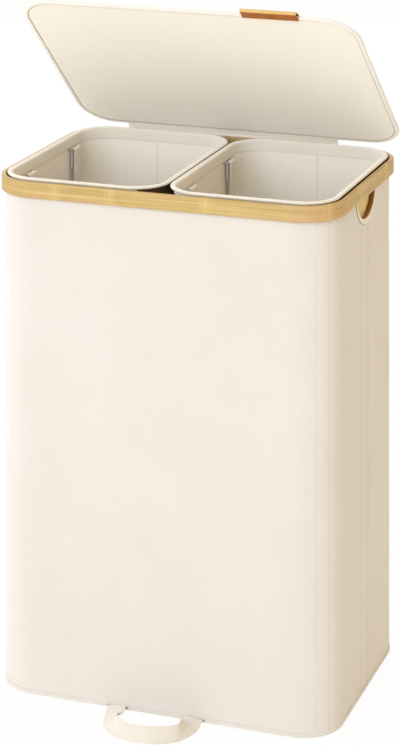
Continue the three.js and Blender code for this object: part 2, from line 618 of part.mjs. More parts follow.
function buildLid() {
  const lid = new THREE.Group();
  lid.position.set(LID_X, HINGE_Y, HINGE_Z);
  lid.rotation.x = -THREE.MathUtils.degToRad(LID_ANGLE);
  model.add(lid);
  const depth = LID_FRONT - LID_BACK;
  const middleY = -(LID_FRONT + LID_BACK) / 2;
  const outline = roundedRectangle(LID_WIDTH, depth, LID_CORNER, BODY_STEPS, 0, middleY);
  const inset = LID_TAPE + GAP;
  const inner = roundedRectangle(
    LID_WIDTH - 2 * inset, depth - 2 * inset, LID_CORNER - inset, BODY_STEPS, 0, middleY,
  );
  const undersideBottom = LID_RISE + LID_TAPE + GAP;
  const boardBottom = undersideBottom + LID_COVER + GAP;
  const topBottom = boardBottom + LID_BOARD + GAP;
  const tapeTopLeg = topBottom + LID_COVER + GAP;
  const lidTop = tapeTopLeg + LID_TAPE;
  add('lid_underside_cover', plate(inner, undersideBottom, undersideBottom + LID_COVER), FABRIC, lid);
  add('lid_board', plate(inner, boardBottom, boardBottom + LID_BOARD), BOARD, lid);
  add('lid_top_cover', plate(inner, topBottom, topBottom + LID_COVER), FABRIC, lid);
  const channel = [
    [-LID_TAPE_REACH, LID_RISE], [-EDGE_BEVEL, LID_RISE], [0, LID_RISE + EDGE_BEVEL],
    [0, lidTop - EDGE_BEVEL], [-EDGE_BEVEL, lidTop], [-LID_TAPE_REACH, lidTop],
    [-LID_TAPE_REACH, tapeTopLeg], [-LID_TAPE, tapeTopLeg],
    [-LID_TAPE, LID_RISE + LID_TAPE], [-LID_TAPE_REACH, LID_RISE + LID_TAPE],
  ];
  add('lid_edge_tape', sweep(outline, channel), TAPE, lid);

  const left = STRIP_X - LID_X - STRIP_WIDTH / 2;
  const stripTop = LID_RISE - GAP;
  const stripFront = -LID_BACK - STRIP_ON_LID;
  const strap = block(left, left + STRIP_WIDTH, stripFront, -STRIP_FREE, stripTop - STRIP, stripTop);
  add('lid_hinge_strip', strap, TAPE, lid);

  // The tab is a strap folded over the lid's front edge and sewn down above and below it.
  // Its lower ply runs straight out from the lid, and its upper ply slopes down to the fold.
  const fold = TAB_FOLD + TAB_THICKNESS;
  const foldZ = LID_RISE - GAP + TAB_FOLD;
  const foldY = LID_FRONT + TAB_REACH - fold;
  const upper = lidTop + GAP;
  const shoulder = LID_FRONT + TAB_THICKNESS;
  const profile = new THREE.Shape();
  profile.moveTo(LID_FRONT - TAB_OVER, upper);
  profile.lineTo(shoulder, upper);
  profile.lineTo(foldY, foldZ + TAB_FOLD);
  profile.absarc(foldY, foldZ, TAB_FOLD, Math.PI / 2, -Math.PI / 2, true);
  profile.lineTo(LID_FRONT - TAB_UNDER, foldZ - TAB_FOLD);
  profile.lineTo(LID_FRONT - TAB_UNDER, foldZ - fold);
  profile.lineTo(foldY, foldZ - fold);
  profile.absarc(foldY, foldZ, fold, -Math.PI / 2, Math.PI / 2, false);
  profile.lineTo(shoulder, upper + TAB_THICKNESS);
  profile.lineTo(LID_FRONT - TAB_OVER, upper + TAB_THICKNESS);
  const tab = extrude(profile, TAB_WIDTH);
  tab.applyMatrix4(new THREE.Matrix4().makeBasis(
    new THREE.Vector3(0, -1, 0), new THREE.Vector3(0, 0, 1), new THREE.Vector3(-1, 0, 0),
  ));
  tab.translate(TAB_X - LID_X + TAB_WIDTH / 2, 0, 0);
  add('lid_pull_tab', tab, LEATHER, lid);
}

// The fabric strip that carries the lid, screwed to the back of the hoop
function buildHinge() {
  const y = backY + hoopOut + GAP;
  const left = STRIP_X - STRIP_WIDTH / 2;
  const holes = hingeScrewPositions().map((x) => screwHole(x, STRIP_SCREW_Z, y - 1, y + STRIP + 1));
  const strap = block(left, left + STRIP_WIDTH, y, y + STRIP, STRIP_BOTTOM, HINGE_Z - STRIP_FREE);
  add('body_hinge_strip', cut(strap, holes), TAPE);
  const length = STRIP + GAP + HOOP_THICKNESS - HOOP_SKIN;
  hingeScrewPositions().forEach((x, i) => {
    const fixing = add(`hinge_screw_${i + 1}`, screw(length), STEEL);
    fixing.position.set(x, y + STRIP + GAP, STRIP_SCREW_Z);
    fixing.rotation.x = -Math.PI / 2;
  });
}

buildBody();
buildHoop();
buildHandHoles();
buildPullLoop();
buildBin('left', -BIN_X);
buildBin('right', BIN_X);
buildHinge();
buildLid();

export default model;
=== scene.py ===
# A fabric laundry hamper with two bins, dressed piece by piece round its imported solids.
# Sizes in the sections are millimetres, +Z up, the front towards -Y; colours are sRGB, 0 to 255.
import math

import bmesh
import bpy
import numpy as np
from mathutils import Matrix, Vector


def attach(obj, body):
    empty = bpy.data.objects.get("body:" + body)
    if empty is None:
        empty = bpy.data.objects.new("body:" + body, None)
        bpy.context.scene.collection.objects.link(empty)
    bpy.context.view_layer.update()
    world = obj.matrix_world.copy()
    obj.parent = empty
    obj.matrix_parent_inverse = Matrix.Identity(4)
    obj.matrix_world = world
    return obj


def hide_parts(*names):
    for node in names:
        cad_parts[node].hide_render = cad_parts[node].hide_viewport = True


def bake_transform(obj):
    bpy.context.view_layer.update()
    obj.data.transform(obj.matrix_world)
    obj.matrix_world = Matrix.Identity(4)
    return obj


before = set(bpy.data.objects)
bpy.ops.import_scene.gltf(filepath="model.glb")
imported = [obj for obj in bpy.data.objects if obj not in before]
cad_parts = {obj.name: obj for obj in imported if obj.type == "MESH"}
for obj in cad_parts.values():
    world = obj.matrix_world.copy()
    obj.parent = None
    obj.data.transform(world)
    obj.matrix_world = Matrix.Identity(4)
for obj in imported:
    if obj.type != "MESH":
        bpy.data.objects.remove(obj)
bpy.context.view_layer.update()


# Camera. It stands level, to the right of the front and a metre and a half up. Its picture plane
# is tipped back, as on a view camera, so that upright edges stay parallel with no lens shift.
# The tip lies in the holder that carries it, so other views, made without it, stand straight.
EYE = (1.1288, -3.1555, 1.4873)
YAW = math.radians(19.69)
PICTURE_HEIGHT = 745
FOCAL_PIXELS = 2454
HORIZON_PIXELS = 799.7  # above the middle of the picture
SENSOR = 36

tip = math.atan2(HORIZON_PIXELS, FOCAL_PIXELS)
rightwards = Vector((math.cos(YAW), math.sin(YAW), 0))
upwards = Vector((0, 0, 1))
backwards = Vector((math.sin(YAW), -math.cos(YAW), 0))
tipped = backwards * math.cos(tip) + upwards * math.sin(tip)
camera = bpy.data.objects.new("camera", bpy.data.cameras.new("camera"))
camera.data.sensor_width = SENSOR
camera.data.lens = FOCAL_PIXELS / math.cos(tip) * SENSOR / PICTURE_HEIGHT
camera.data.clip_start = 0.1
camera.data.clip_end = 60
holder = bpy.data.objects.new("camera_holder", None)
for thing in (camera, holder):
    bpy.context.scene.collection.objects.link(thing)
camera.parent = holder
camera.matrix_parent_inverse = (
    Matrix.Translation(EYE) @ Matrix((rightwards, upwards, tipped)).transposed().to_4x4()
)
bpy.context.scene.camera = camera


# Stage. A plain pale floor in soft studio light: a wide lamp high to the front left, a weaker one
# high behind, and an even warmer glow from all sides. To the camera the background is white.
GLOW = (1.0, 0.86, 0.66)
GLOW_STRENGTH = 0.78
LAMPS = {"front_lamp": ((-0.7, -4.1, 2.45), 124), "rear_lamp": ((-1.2, 4.1, 2.6), 70)}
LAMP_SIZE = 3.0
LAMP_COLOUR = (0.65, 0.81, 1.0)
LAMP_AIM = (0, 0, 0.4)
FLOOR_SIZE = 30
FLOOR_LEVEL = -0.0005
FLOOR_WHITE = 0.94  # how far the camera and shiny things see the floor as plain white


class Wire:
    """A socket of a finish. A sum written on wires adds Math nodes."""

    def __init__(self, finish, socket):
        self.finish = finish
        self.socket = socket

    def math(self, operation, *others):
        values = dict(enumerate((self, *others)))
        return self.finish.node("ShaderNodeMath", {"operation": operation}, values)

    def __add__(self, other):
        return self.math("ADD", other)

    def __sub__(self, other):
        return self.math("SUBTRACT", other)

    def __rsub__(self, other):
        return self.finish.node("ShaderNodeMath", {"operation": "SUBTRACT"}, {0: other, 1: self})

    def __mul__(self, other):
        return self.math("MULTIPLY", other)

    __radd__ = __add__
    __rmul__ = __mul__


class Finish:
    """The nodes of a material, or of the world where it is given, built up by calls."""

    def __init__(self, name, world=None, **constants):
        self.material = world or bpy.data.materials.new(name)
        self.material.use_nodes = True
        self.tree = self.material.node_tree
        self.shader = self.tree.nodes["Background" if world else "Principled BSDF"]
        self.feed(self.shader, {key.replace("_", " "): value for key, value in constants.items()})

    def feed(self, node, values):
        for key, value in values.items():
            if isinstance(value, Wire):
                self.tree.links.new(value.socket, node.inputs[key])
            else:
                node.inputs[key].default_value = value

    def node(self, kind, settings, values, output=0):
        """Any node: its type, its settings, then the values or wires of its sockets."""
        made = self.tree.nodes.new(kind)
        for key, value in settings.items():
            setattr(made, key, value)
        self.feed(made, values)
        return Wire(self, made.outputs[output])

    def mix(self, amount, first, second):
        """A colour between two others."""
        return self.node("ShaderNodeMix", {"data_type": "RGBA"}, {0: amount, 6: first, 7: second}, 2)

    def noise(self, where, scale, detail=2.0):
        return self.node("ShaderNodeTexNoise", {}, {"Vector": where, "Scale": scale, "Detail": detail})

    def stretch(self, where, x, y, z=1):
        """Places scaled unevenly, which draws a pattern out along one way."""
        return self.node("ShaderNodeVectorMath", {"operation": "MULTIPLY"}, {0: where, 1: (x, y, z)})

    def object_places(self):
        return self.node("ShaderNodeTexCoord", {}, {}, "Object")

    def cloth_places(self):
        return self.node("ShaderNodeUVMap", {"uv_map": "cloth"}, {})

    def apart(self, where):
        """The two parts of a place on the cloth, in metres: along it and up it."""
        return [self.node("ShaderNodeSeparateXYZ", {}, {"Vector": where}, key) for key in "XY"]

    def clamp(self, wire, low, high, to_low=0.0, to_high=1.0):
        """A wire's range drawn out to another range and held inside it."""
        return self.node(
            "ShaderNodeMapRange", {"clamp": True},
            {"Value": wire, "From Min": low, "From Max": high, "To Min": to_low, "To Max": to_high},
        )

    def line(self, coordinate, at, width):
        """1 on a line across the cloth, fading to 0 at half its width to each side."""
        return self.clamp((coordinate - at).math("ABSOLUTE"), 0, width / 2, 1, 0)

    def white_to_camera(self, share, light, end):
        """Plain white in place of a share of the light, to the camera and in what is shiny."""
        rays = ("Camera", "Glossy", "Transmission")
        rays = [self.node("ShaderNodeLightPath", {}, {}, f"Is {ray} Ray") for ray in rays]
        lift = (rays[0] + rays[1] + rays[2]) * share
        white = self.node(light, {}, {"Color": (1, 1, 1, 1)})
        own = Wire(self, self.shader.outputs[0])
        shown = self.node("ShaderNodeMixShader", {}, {0: lift, 1: own, 2: white})
        self.feed(self.tree.nodes[end], {"Surface": shown})

    def finish(self, colour, height=None, depth=0.0002, roughness=None):
        """Feeds the shader with what changes over the surface."""
        self.feed(self.shader, {"Base Color": colour})
        if roughness is not None:
            self.feed(self.shader, {"Roughness": roughness})
        if height is not None:
            bump = self.node("ShaderNodeBump", {}, {"Height": height, "Strength": 0.6, "Distance": depth})
            self.feed(self.shader, {"Normal": bump})
        return self


def paint(red, green, blue):
    """A colour of the screen as the renderer's own."""
    parts = [c / 255 for c in (red, green, blue)]
    return [c / 12.92 if c < 0.04 else ((c + 0.055) / 1.055) ** 2.4 for c in parts] + [1]


bpy.context.scene.view_settings.view_transform = "Standard"
world = bpy.data.worlds.new("studio")
bpy.context.scene.world = world
air = Finish("studio", world, Color=(*GLOW, 1), Strength=GLOW_STRENGTH)
air.white_to_camera(1, "ShaderNodeBackground", "World Output")

for name, (place, power) in LAMPS.items():
    lamp = bpy.data.objects.new(name, bpy.data.lights.new(name, "AREA"))
    lamp.data.size = LAMP_SIZE
    lamp.data.energy = power
    lamp.data.color = LAMP_COLOUR
    lamp.location = place
    lamp.rotation_euler = (Vector(place) - Vector(LAMP_AIM)).to_track_quat("Z", "Y").to_euler()
    bpy.context.scene.collection.objects.link(lamp)

floor_finish = Finish("pale_floor", Roughness=0.9, Specular_IOR_Level=0.0)
floor_finish.finish(paint(254, 253, 250))
floor_finish.white_to_camera(FLOOR_WHITE, "ShaderNodeEmission", "Material Output")
half = FLOOR_SIZE / 2
floor_mesh = bpy.data.meshes.new("floor")
floor_corners = [(x * half, y * half, FLOOR_LEVEL) for x, y in ((-1, -1), (1, -1), (1, 1), (-1, 1))]
floor_mesh.from_pydata(floor_corners, [], [(0, 1, 2, 3)])
floor_mesh.materials.append(floor_finish.material)
floor = bpy.data.objects.new("floor", floor_mesh)
bpy.context.scene.collection.objects.link(floor)


# Outer cover. Cream canvas stretched over two bent boards and sewn up each side, turned in over
# the mouth. It is a wall swept round the body with the two hand holes cut from it.
MM = 0.001
BODY = (468, 329, 53)  # width, depth and corner
BODY_SCORES = (34.4, 52.3)  # where the board is scored, along each corner
SIDE_SEAM = 10.5
COVER_BOTTOM = 2.4
COVER_TOP = 668
CANVAS = paint(236, 231, 226)
CANVAS_SHADE = paint(229, 222, 214)
CANVAS_PITCH = 0.9 * MM


def canvas(name, light, shade, pitch, marks=()):
    """Plain-woven cloth. A mark is (way, place, width, depth): a seam or crease across the cloth, with
    painted shade.
    """
    cloth = Finish(
        name, Roughness=0.88, Diffuse_Roughness=1.0, Sheen_Weight=0.12, Sheen_Roughness=0.5,
        Specular_IOR_Level=0.2,
    )
    where = cloth.cloth_places()
    along, up = cloth.apart(where)
    warp = (along * (math.pi / pitch)).math("SINE")
    weft = (up * (math.pi / pitch)).math("SINE")
    weave = (warp * weft).math("ABSOLUTE")
    slub_along = cloth.noise(cloth.stretch(where, 40, 1800), 1.0, 1.0)
    slub_up = cloth.noise(cloth.stretch(where, 1800, 40), 1.0, 1.0)
    cloud = cloth.noise(cloth.object_places(), 9.0, 3.0)
    mottle = (slub_along + slub_up) * 0.3 + cloud * 0.4
    colour = cloth.mix(cloth.clamp(mottle + weave * 0.1, 0.3, 0.8), light, shade)
    grooves = None
    for way, place, width, depth in marks:
        groove = cloth.line((along, up)[way], place * MM, width * MM) * depth
        grooves = groove if grooves is None else grooves.math("MAXIMUM", groove)
    height = weave * 0.4 + (slub_along + slub_up) * 0.12
    if grooves is not None:
        # Grooves are darkened towards a deep version of the shade colour: painted shade in the seams and
        # creases.
        colour = cloth.mix(grooves * 0.55, colour, [c * 0.45 for c in shade[:3]] + [1])
        height = height - grooves
    return cloth.finish(colour, height, 0.0002)


def way_round(width, depth, corner, x=0, y=0, gap=12, steps=12, extra=()):
    """Points round a rectangle with round corners, anticlockwise from the middle of its front:
    their places, their outward directions, and their distances along it with its whole length."""
    half_width, half_depth, arc = width / 2 - corner, depth / 2 - corner, corner * math.pi / 2
    side, rear = 2 * half_depth, 2 * half_width
    runs = [half_width, arc, side, arc, rear, arc, side, arc, half_width]
    starts = np.concatenate([[0], np.cumsum(runs)])
    marks = list(extra)
    for number, (start, run) in enumerate(zip(starts, runs)):
        parts = steps if number % 2 else max(1, round(run / gap))
        marks.extend(start + run * np.arange(parts) / parts)
    along = np.sort(np.array(marks))
    along = along[np.concatenate([[True], np.diff(along) > 0.05])]
    number = np.searchsorted(starts, along, side="right") - 1
    beyond = along - starts[number]
    on_corner = number % 2 == 1
    turned = (number // 2 - 1) * math.pi / 2 + np.where(on_corner, beyond / corner, 0)
    out = np.stack([np.cos(turned), np.sin(turned)], 1)
    ahead = np.stack([-out[:, 1], out[:, 0]], 1)
    centres = np.array([
        (0, -half_depth), (half_width, -half_depth), (half_width, half_depth),
        (-half_width, half_depth), (-half_width, -half_depth),
    ])
    places = centres[(number + 1) // 2] + corner * out + ahead * np.where(on_corner, 0, beyond)[:, None]
    return places + (x, y), out, np.append(along, starts[-1])


def ripple(points, length, seed):
    """Smooth uneven waves of about that length, from -1 to 1."""
    draw = np.random.default_rng(seed)
    total = np.zeros(points.shape[:-1])
    for _ in range(7):
        way = draw.normal(size=3)
        way *= 2 * math.pi / (length * draw.uniform(0.7, 1.5)) / np.linalg.norm(way)
        total += np.sin(points @ way + draw.uniform(0, 2 * math.pi))
    return total / 4


def wrap(way, section, loose=0.0, length=90, seed=1, fade=None):
    """Sections of a wall that follows a way round. A section point is (out, up). Loose cloth
    stands in and out by up to that much, less where fade says."""
    places, out, _ = way
    section = np.array(section, float)
    count = (len(places), len(section))
    points = np.empty((*count, 3))
    points[..., :2] = places[:, None] + out[:, None] * section[None, :, :1]
    points[..., 2] = section[None, :, 1]
    if loose:
        base = np.empty((*count, 3))
        base[..., :2] = places[:, None]
        base[..., 2] = section[None, :, 1]
        push = loose * ripple(base, length, seed)
        if fade is not None:
            push = push * fade(base)
        points[..., :2] += out[:, None] * push[..., None]
    return points


def skin(sections, ring=False, flat=False, along=None, around=None):
    """Faces over a row of closed sections, joined end to end in a ring or capped. Returns points,
    faces, and each face corner's place on the cloth: along the row and around, or seen from above."""
    sections = np.asarray(sections, float)
    count, sides = sections.shape[:2]
    spans = count if ring else count - 1
    here = np.arange(spans)[:, None] * sides
    there = (np.arange(1, spans + 1)[:, None] % count) * sides
    side = np.arange(sides)[None]
    following = (side + 1) % sides
    faces = np.stack([here + side, there + side, there + following, here + following], -1)
    if along is None:
        steps = np.linalg.norm(np.roll(sections, -1, 0) - sections, axis=2).mean(1)[:spans]
        along = np.concatenate([[0], np.cumsum(steps)])
    if around is None:
        edges = np.linalg.norm(np.roll(sections, -1, 1) - sections, axis=2).mean(0)
        around = np.concatenate([[0], np.cumsum(edges)])
    a0, a1 = np.broadcast_arrays(along[:-1, None], along[1:, None])
    b0, b1 = around[None, :-1], around[None, 1:]
    corners = [np.broadcast_arrays(a, b) for a, b in ((a0, b0), (a1, b0), (a1, b1), (a0, b1))]
    cloth = np.stack([np.stack(pair, -1) for pair in corners], 2).reshape(-1, 2)
    points = sections.reshape(-1, 3)
    faces = faces.reshape(-1, 4).tolist()
    if not ring:
        last = (count - 1) * sides
        caps = [list(range(sides)), list(range(last, last + sides))]
        faces += caps
        cloth = np.concatenate([cloth, points[caps[0], :2], points[caps[1], :2]])
    if flat:
        cloth = points[np.concatenate([np.array(face) for face in faces])][:, :2]
    return points, faces, cloth


def make(name, shapes, finish, body, nodes=(), sharp=40, place=None):
    """One object of skinned shapes, in its finish, riding on a body and standing for its nodes."""
    points, faces, cloth, first = [], [], [], 0
    for shape in shapes:
        points.append(shape[0])
        faces.extend([[first + i for i in face] for face in shape[1]])
        cloth.append(shape[2])
        first += len(shape[0])
    points = np.concatenate(points)
    if place is not None:
        points = points @ np.array(place)[:3, :3].T + np.array(place)[:3, 3]
    mesh = bpy.data.meshes.new(name)
    mesh.from_pydata((points * MM).tolist(), [], faces)
    layer = mesh.uv_layers.new(name="cloth")
    layer.uv.foreach_set("vector", (np.concatenate(cloth) * MM).astype(np.float32).ravel())
    tidy = bmesh.new()
    tidy.from_mesh(mesh)
    bmesh.ops.recalc_face_normals(tidy, faces=tidy.faces)
    tidy.to_mesh(mesh)
    tidy.free()
    mesh.materials.append(finish.material)
    mesh.polygons.foreach_set("use_smooth", [True] * len(mesh.polygons))
    mesh.set_sharp_from_angle(angle=math.radians(sharp))
    piece = bpy.data.objects.new(name, mesh)
    bpy.context.scene.collection.objects.link(piece)
    if body:
        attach(piece, body)
        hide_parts(*nodes)
    return piece


def second_finish(piece, finish, chosen):
    """Gives some faces of a swept piece another finish, chosen by their number."""
    piece.data.materials.append(finish.material)
    for face in piece.data.polygons:
        if chosen(face.index):
            face.material_index = len(piece.data.materials) - 1


def cut_away(piece, tools):
    """Cuts closed shapes from a piece."""
    for tool in tools:
        change = piece.modifiers.new("cut", "BOOLEAN")
        change.object = tool
        change.operation = "DIFFERENCE"
        change.solver = "EXACT"
    drawn = bpy.context.evaluated_depsgraph_get()
    mesh = bpy.data.meshes.new_from_object(piece.evaluated_get(drawn))
    piece.modifiers.clear()
    piece.data = mesh
    mesh.polygons.foreach_set("use_smooth", [True] * len(mesh.polygons))
    mesh.set_sharp_from_angle(angle=math.radians(40))
    for tool in tools:
        bpy.data.objects.remove(tool)


HOLE_MIDDLE = 2
HOLE_HALF = 43
HOLE_DROP = 33
HOLE_LINE = 658.7
HOLE_TOP = 660  # hidden under the hoop
HOLE_THROUGH = (225, 240)


def oval_arc(middle, wide, tall, start, end, count):
    """Points on part of an oval, from one turn in degrees to another."""
    turns = np.radians(np.linspace(start, end, count))
    return [(middle[0] + wide * math.cos(turn), middle[1] + tall * math.sin(turn)) for turn in turns]


def half_oval(half, drop):
    """A hand hole's edge as (along the side, up), from its front end down and up to its rear end."""
    return np.array(oval_arc((HOLE_MIDDLE, HOLE_LINE), half, drop, 180, 360, 33))


def hole_tool(side):
    """A closed shape that cuts a hand hole through the layers of one side."""
    top = [(HOLE_MIDDLE + HOLE_HALF, HOLE_TOP), (HOLE_MIDDLE - HOLE_HALF, HOLE_TOP)]
    edge = np.vstack([half_oval(HOLE_HALF, HOLE_DROP), top])
    rows = [np.column_stack([np.full(len(edge), side * x), edge]) for x in HOLE_THROUGH]
    return make("tool", [skin(rows)], body_canvas, None)


LOOP_SLOTS = ((-70.5, -41.5), (36.5, 65.5))
LOOP_SLOT_HEIGHT = (0.9, 3.9)
LOOP_SLOT_DEPTH = (-168, -163.3)


def loop_slots():
    """Closed boxes where the pull loop's two legs come out through the tape and the cover."""
    low, high = LOOP_SLOT_HEIGHT
    tools = []
    for left, right in LOOP_SLOTS:
        corners = ((left, low), (right, low), (right, high), (left, high))
        rows = [[(x, y, z) for x, z in corners] for y in LOOP_SLOT_DEPTH]
        tools.append(make("tool", [skin(rows)], body_canvas, None))
    return tools


def score_places():
    """Where the covers show the board's scores, along the way round the body."""
    width, depth, corner = BODY
    arc = corner * math.pi / 2
    front = width / 2 - corner
    rear = front + arc + depth - 2 * corner
    total = 2 * (width - 2 * corner) + 2 * (depth - 2 * corner) + 4 * arc
    right = [front + score for score in BODY_SCORES] + [rear + arc - score for score in BODY_SCORES]
    return right + [total - score for score in right]


def side_places(y):
    """A place on each side, y from the middle, along the way round the body."""
    width, depth, corner = BODY
    start = width / 2 - corner + corner * math.pi / 2 + depth / 2 - corner
    total = 2 * (width + depth - 4 * corner) + 2 * math.pi * corner
    return [start + y, total - start - y]


scores = score_places()
seams = side_places(SIDE_SEAM)
# The scores and side seams are grooves in the bump, darkened with painted shade.
body_marks = [(0, place, 1.6, depth) for place, depth in zip(scores, (0.2, 0.5, 0.2, 0.5) * 2)]
body_marks += [(0, place, 1.4, 0.9) for place in seams]
body_canvas = canvas("cover_canvas", CANVAS, CANVAS_SHADE, CANVAS_PITCH, body_marks)
plain_canvas = canvas("plain_canvas", CANVAS, CANVAS_SHADE, CANVAS_PITCH)
# Dark brown cloth on faces deep in the crevices round the bins' mouths, where only shade falls: painted
# shade.
crevice_shade_brown = canvas("painted_crevice_shade", paint(100, 70, 36), paint(84, 56, 26), 0.7 * MM)
body_columns = [s + d for s in scores + seams for d in (-2.5, -0.9, 0, 0.9, 2.5)]
body_way = way_round(*BODY, extra=body_columns)


def near_edge(base):
    """Cloth lies flat by the bottom and under the hoop, and round the hand holes."""
    up = base[..., 2]
    low = np.clip((up - 6) / 60, 0, 1) * np.clip((645 - up) / 60, 0, 1)
    hole = np.hypot(base[..., 1] - HOLE_MIDDLE, up - HOLE_LINE)
    beside = (np.abs(base[..., 0]) < 200) | (hole > 140)
    return low * np.where(beside, 1, np.clip((hole - 70) / 70, 0, 1))


def grooved(sections, places, depth, width):
    """Presses grooves into a wall, across its way round."""
    _, out, along = body_way
    for place in places:
        press = depth * np.exp(-(((along[:-1] - place) / width) ** 2))
        sections[..., :2] -= out[:, None] * press[:, None, None]
    return sections


wall_levels = np.concatenate([[COVER_BOTTOM], np.arange(12, 660, 18)])
cover_section = (
    [(0, z) for z in wall_levels] + [(0, 667.2), (-0.8, COVER_TOP), (-4.6, COVER_TOP), (-5.4, 667.2)]
    + [(-5.4, 660.5), (-4.4, 660.5), (-4.4, 667), (-1, 667)] + [(-1, z) for z in wall_levels[::-1]]
)
cover = wrap(body_way, cover_section, 0.3, 130, 3, near_edge)
cover = grooved(grooved(cover, scores, 0.3, 1.0), seams, 0.45, 0.8)
TURNED_IN = range(len(wall_levels) + 2, len(wall_levels) + 6)
outer_cover = make(
    "outer_cover_cloth", [skin(cover, ring=True, along=body_way[2])], body_canvas,
    "hamper", ["outer_cover"],
)
# The cover's turned-in top, down in the crevice under the hoop, is painted dark brown: painted shade.
second_finish(outer_cover, crevice_shade_brown, lambda number: number % len(cover_section) in TURNED_IN)
cut_away(outer_cover, [hole_tool(side) for side in (1, -1)] + loop_slots())


# Side stitching. Two rows of lock stitches run up each side, one just behind the seam and one in
# front of it. Each stitch is a short length of cream thread, sunk into the cloth at its ends.
STITCH = 2.8
STITCH_GAP = 0.9
THREAD = 0.5
SIDE_FACE = 234.1
SIDE_STITCHES = (-21, 14)
thread = canvas("thread", paint(240, 232, 220), paint(226, 214, 196), 0.4 * MM)


def stitches(line, out, closed=False, length=STITCH, gap=STITCH_GAP, thickness=THREAD):
    """Stitches along a line of points on a surface, given the surface's outward directions."""
    line = np.asarray(line, float)
    out = np.broadcast_to(np.asarray(out, float), line.shape)
    if closed:
        line = np.vstack([line, line[:1]])
        out = np.vstack([out, out[:1]])
    reach = np.concatenate([[0], np.cumsum(np.linalg.norm(np.diff(line, axis=0), axis=1))])
    count = max(1, int(reach[-1] / (length + gap)))
    middle = (np.arange(count) + 0.5) * reach[-1] / count

    def at(values, distance):
        return np.stack([np.interp(distance, reach, values[:, i]) for i in range(3)], 1)

    centre = at(line, middle)
    ahead = at(line, middle + length / 3) - at(line, middle - length / 3)
    ahead /= np.linalg.norm(ahead, axis=1)[:, None]
    up = at(out, middle)
    across = np.cross(up, ahead)
    across /= np.linalg.norm(across, axis=1)[:, None]
    up = np.cross(ahead, across)
    turn = np.arange(5) * 2 * math.pi / 5
    shapes = []
    for share, size, rise in ((-0.5, 0.4, -0.2), (-0.28, 1, 0.1), (0.28, 1, 0.1), (0.5, 0.4, -0.2)):
        for angle in turn:
            wide = math.cos(angle) * size * thickness / 2
            tall = (math.sin(angle) * size / 2 + rise) * thickness
            shapes.append(centre + ahead * share * length + across * wide + up * tall)
    points = np.stack(shapes, 1).reshape(-1, 3)
    _, pattern, one_cloth = skin(np.zeros((4, 5, 3)))
    faces = [[20 * i + j for j in face] for i in range(count) for face in pattern]
    return points, faces, np.tile(one_cloth, (count, 1))


side_levels = np.linspace(8, 618, 60)
seam_rows = [
    stitches([(side * SIDE_FACE, y, z) for z in side_levels], (side, 0, 0))
    for side in (1, -1) for y in SIDE_STITCHES
]
make("side_seam_stitching", seam_rows, thread, "hamper")

# Lining. Thin tan cloth inside the wall boards, seen only in the gap round the bins and through
# the hand holes, which are cut through it too.
lining_cloth = canvas("lining_cloth", paint(206, 172, 118), paint(186, 150, 96), 0.9 * MM)
lining_levels = [2.4, 100, 200, 300, 400, 500, 600, 660.2]
lining_section = [(-3.6, z) for z in lining_levels] + [(-4.1, z) for z in lining_levels[::-1]]
lining = make(
    "body_lining_cloth", [skin(wrap(body_way, lining_section), ring=True)], lining_cloth,
    "hamper", ["body_lining"],
)
cut_away(lining, [hole_tool(side) for side in (1, -1)])

# Bottom. A tape folded round the lower edge and stitched down, and a doubled canvas panel that
# the hamper stands on.
foot_cloth = canvas("foot_tape", CANVAS, CANVAS_SHADE, 0.6 * MM)
TAPE_OUT = 0.95
TAPE_TOP = 5.5
FOOT_STITCHES = 4.3
tape_section = [
    (-9, 0.05), (-4, 0), (0.3, 0), (0.8, 0.15), (1.05, 0.5), (TAPE_OUT + 0.15, 2), (TAPE_OUT + 0.15, 4),
    (TAPE_OUT - 0.1, 5), (0.6, TAPE_TOP - 0.1), (0.3, TAPE_TOP), (0.05, 5.2), (0.3, 3), (0.3, 0.8),
    (-9, 0.8),
]
bottom_tape = make(
    "bottom_edge_tape_cloth", [skin(wrap(body_way, tape_section), ring=True)], foot_cloth,
    "hamper", ["bottom_edge_tape"],
)
cut_away(bottom_tape, loop_slots())


def stitches_round(way, gap, height, outward=0, upward=0):
    """Stitches all round a way, that gap out from it, facing out or up."""
    places, outs, _ = way
    line = np.column_stack([places + outs * gap, np.full(len(places), height)])
    facing = np.column_stack([outs * outward, np.full(len(places), upward)])
    return stitches(line, facing, closed=True)


foot_stitches = stitches_round(body_way, TAPE_OUT + 0.12, FOOT_STITCHES, outward=1)
make("bottom_tape_stitching", [foot_stitches], thread, "hamper")


def levels(way, pairs):
    """Rings of a plate or tub, each (out, up) from the way round."""
    return np.swapaxes(wrap(way, pairs), 0, 1)


panel_levels = [(-9.4, 0.2), (-9.3, 1.1), (-0.1, 1.1), (0, 1.3), (0, 2), (-0.2, 2.1), (-40, 2.1)]
make(
    "bottom_panel_cloth", [skin(levels(body_way, [(-40, 0), (-9.8, 0)] + panel_levels), flat=True)],
    plain_canvas, "hamper", ["bottom_panel"],
)

# Bamboo hoop. One flat strip of laminated bamboo bent round the mouth and screwed on from inside,
# its edges eased and its face varnished; darker bands across it are the nodes of the cane.
HOOP = (0.3, 6.6, 659, 680)  # inner face, outer face, lower edge, upper edge
HOOP_EASE = 2.0
BAMBOO_LIGHT = paint(214, 188, 130)
BAMBOO_DARK = paint(186, 152, 90)
BAMBOO_ROSY = paint(217, 181, 133)
BAMBOO_PALE = paint(223, 201, 138)
BAMBOO_BROWN = paint(168, 126, 68)
NODE_PLACES = (63.6, 226, 330, 455, 560, 660, 790, 905, 1030, 1150, 1260, 1356.3, 1434.5)
LAYER_LINES = (7.2, 11.4, 15.8, 33, 38)


